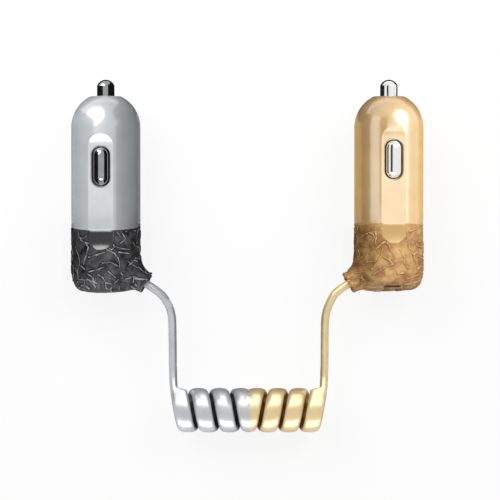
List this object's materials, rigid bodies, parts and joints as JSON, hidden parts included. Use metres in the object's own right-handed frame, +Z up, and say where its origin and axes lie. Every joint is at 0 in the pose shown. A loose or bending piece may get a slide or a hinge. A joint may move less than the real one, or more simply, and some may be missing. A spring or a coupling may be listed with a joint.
{
  "type": "car usb charger plug",
  "caption": "Lighter-socket USB charger plugs in silver and gold finish with sprung contacts and textured base covers, joined by a curly cord.",
  "frame": {"origin": "centre of the footprint of the plugs, on the surface they lie on; the cord is left out of that footprint", "axes": "+X from the silver plug to the gold one, +Y towards the noses, +Z up from the surface"},
  "size_m": [0.105, 0.105, 0.0219],
  "materials": {
    "silver_body": "satin silver anodised",
    "gold_body": "satin gold anodised",
    "silver_cover": "black, raised crackle ridges",
    "gold_cover": "bronze, raised crackle ridges",
    "chrome_contact": "bright nickel",
    "spring_steel": "plain spring steel",
    "terminal_brass": "tinned brass",
    "frame_plastic": "natural moulding",
    "board_laminate": "green solder mask",
    "chip_plastic": "moulded black",
    "inductor_ferrite": "dark ferrite and copper winding",
    "capacitor_can": "bright can on a black base",
    "fuse_ceramic": "ceramic with tinned caps",
    "usb_steel": "nickel-plated sheet",
    "usb_insulator": "white moulding",
    "usb_gilt": "gold flash",
    "silver_grommet": "soft black",
    "gold_grommet": "soft bronze",
    "silver_cord": "glossy silver jacket",
    "gold_cord": "glossy gold jacket"
  },
  "bodies": {
    "casing": {"silver_nose_shell": "silver_body", "silver_base_cover": "silver_cover", "silver_centre_spring": "spring_steel", "silver_front_spring": "spring_steel", "silver_back_spring": "spring_steel", "silver_centre_terminal": "terminal_brass", "silver_inner_frame": "frame_plastic", "silver_circuit_board": "board_laminate", "silver_control_chip": "chip_plastic", "silver_inductor": "inductor_ferrite", "silver_capacitor": "capacitor_can", "silver_fuse": "fuse_ceramic", "silver_usb_shell": "usb_steel", "silver_usb_tongue": "usb_insulator", "silver_usb_contacts": "usb_gilt", "silver_cord_grommet": "silver_grommet", "silver_cord_lead": "silver_cord", "silver_cord_coil": "silver_cord", "gold_nose_shell": "gold_body", "gold_base_cover": "gold_cover", "gold_centre_spring": "spring_steel", "gold_front_spring": "spring_steel", "gold_back_spring": "spring_steel", "gold_centre_terminal": "terminal_brass", "gold_inner_frame": "frame_plastic", "gold_circuit_board": "board_laminate", "gold_control_chip": "chip_plastic", "gold_inductor": "inductor_ferrite", "gold_capacitor": "capacitor_can", "gold_fuse": "fuse_ceramic", "gold_usb_shell": "usb_steel", "gold_usb_tongue": "usb_insulator", "gold_usb_contacts": "usb_gilt", "gold_cord_grommet": "gold_grommet", "gold_cord_lead": "gold_cord", "gold_cord_coil": "gold_cord"},
    "silver_centre_contact_body": {"silver_centre_contact": "chrome_contact"},
    "silver_front_contact_body": {"silver_front_contact": "chrome_contact"},
    "silver_back_contact_body": {"silver_back_contact": "chrome_contact"},
    "gold_centre_contact_body": {"gold_centre_contact": "chrome_contact"},
    "gold_front_contact_body": {"gold_front_contact": "chrome_contact"},
    "gold_back_contact_body": {"gold_back_contact": "chrome_contact"}
  },
  "joints": [
    {"name": "silver_centre_contact_press", "type": "slide", "parent": "casing", "child": "silver_centre_contact_body", "axis": [0, -0.9998, -0.0195], "range_m": [0, 0.0025], "stiffness_N_per_m": 800, "springref_m": -0.0015, "deforming": ["silver_centre_spring"]},
    {"name": "silver_front_contact_press", "type": "slide", "parent": "casing", "child": "silver_front_contact_body", "axis": [0.1045, 0.0194, -0.9943], "range_m": [0, 0.0012], "stiffness_N_per_m": 900, "springref_m": -0.0008, "deforming": ["silver_front_spring"]},
    {"name": "silver_back_contact_press", "type": "slide", "parent": "casing", "child": "silver_back_contact_body", "axis": [-0.1045, -0.0194, 0.9943], "range_m": [0, 0.0012], "stiffness_N_per_m": 900, "springref_m": -0.0008, "deforming": ["silver_back_spring"]},
    {"name": "gold_centre_contact_press", "type": "slide", "parent": "casing", "child": "gold_centre_contact_body", "axis": [0, -0.9998, -0.0195], "range_m": [0, 0.0025], "stiffness_N_per_m": 800, "springref_m": -0.0015, "deforming": ["gold_centre_spring"]},
    {"name": "gold_front_contact_press", "type": "slide", "parent": "casing", "child": "gold_front_contact_body", "axis": [0.1045, -0.0194, 0.9943], "range_m": [0, 0.0012], "stiffness_N_per_m": 900, "springref_m": -0.0008, "deforming": ["gold_front_spring"]},
    {"name": "gold_back_contact_press", "type": "slide", "parent": "casing", "child": "gold_back_contact_body", "axis": [-0.1045, 0.0194, -0.9943], "range_m": [0, 0.0012], "stiffness_N_per_m": 900, "springref_m": -0.0008, "deforming": ["gold_back_spring"]}
  ]
}
